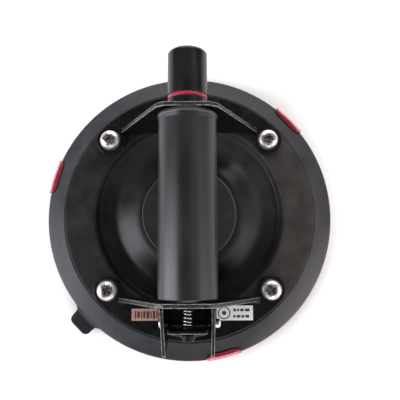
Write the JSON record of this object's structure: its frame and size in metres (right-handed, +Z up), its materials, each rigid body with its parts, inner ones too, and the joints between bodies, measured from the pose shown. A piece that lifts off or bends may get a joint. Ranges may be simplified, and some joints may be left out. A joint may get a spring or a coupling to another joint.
{
  "type": "vacuum suction cup",
  "caption": "Hand-held vacuum lifter: a round rubber suction pad under a bracketed handle that houses a push plunger pump, with a release lever and a clip-on pad cover.",
  "frame": {"origin": "on the suction pad's axis, at the underside of the pad cover", "axes": "+Z up along the pad's axis, +Y along the pump towards the plunger, -Y towards the release lever"},
  "size_m": [0.2036, 0.2036, 0.0825],
  "materials": {
    "pad_rubber": "satin moulded rubber",
    "seal_rubber": "matte",
    "black_paint": "fine black powder coat",
    "grip_plastic": "satin moulded",
    "pump_plastic": "satin moulded",
    "red_plastic": "semi-gloss moulded",
    "stainless": "bright stainless steel",
    "zinc_steel": "zinc plated",
    "spring_steel": "bright wire",
    "aluminium": "turned",
    "brass": "turned",
    "felt": "pressed felt",
    "copper_label": "printed film",
    "silver_label": "printed film"
  },
  "bodies": {
    "cover": {"pad_cover": "red_plastic", "cover_rim": "red_plastic", "cover_support": "red_plastic", "cover_clip_1": "red_plastic", "cover_clip_2": "red_plastic", "cover_clip_3": "red_plastic"},
    "lifter": {"suction_pad": "pad_rubber", "backing_ring": "zinc_steel", "hub_disc": "grip_plastic", "hub_elbow": "brass", "hub_nut": "brass", "air_filter": "felt", "rear_bracket": "black_paint", "front_bracket": "black_paint", "left_cheek": "black_paint", "right_cheek": "black_paint", "screw_1": "stainless", "screw_2": "stainless", "screw_3": "stainless", "screw_4": "stainless", "washer_1": "stainless", "washer_2": "stainless", "washer_3": "stainless", "washer_4": "stainless", "handle_grip": "grip_plastic", "pump_barrel": "aluminium", "front_cap": "pump_plastic", "cap_o_ring": "seal_rubber", "cap_ring_nut": "black_paint", "rear_bush": "pump_plastic", "wiper_seal": "seal_rubber", "return_spring": "spring_steel", "release_spring": "spring_steel", "port_fitting": "brass", "air_hose": "seal_rubber", "hose_clip_upper": "zinc_steel", "hose_clip_lower": "zinc_steel", "lever_pin": "black_paint", "pin_cap_left": "stainless", "pin_cap_right": "stainless", "serial_plate": "copper_label", "load_label": "silver_label"},
    "plunger": {"plunger": "pump_plastic", "indicator_ring": "red_plastic", "piston": "aluminium", "piston_seal": "seal_rubber", "check_valve": "seal_rubber"},
    "lever": {"release_lever": "black_paint"},
    "valve_stem": {"release_stem": "black_paint", "stem_nut": "black_paint", "release_seal": "seal_rubber"}
  },
  "joints": [
    {"name": "lift_off", "type": "slide", "parent": "cover", "child": "lifter", "axis": [0, 0, 1], "range_m": [0, 0.03], "deforming": ["cover_clip_1", "cover_clip_2", "cover_clip_3"]},
    {"name": "plunger_slide", "type": "slide", "parent": "lifter", "child": "plunger", "axis": [0, -1, 0], "range_m": [0, 0.03], "stiffness_N_per_m": 400, "springref_m": -0.015, "deforming": ["return_spring"]},
    {"name": "lever_pivot", "type": "hinge", "parent": "lifter", "child": "lever", "pos_m": [0, -0.0704, 0.054], "axis": [-1, 0, 0], "range_deg": [0, 10], "stiffness_Nm_per_rad": 0.08, "springref_deg": -22.92},
    {"name": "stem_slide", "type": "slide", "parent": "lifter", "child": "valve_stem", "axis": [0, 1, 0], "range_m": [0, 0.0018], "deforming": ["release_spring"]}
  ],
  "couplings": [
    {"joint": "stem_slide", "follows": "lever_pivot", "m_per_rad": 0.01}
  ]
}
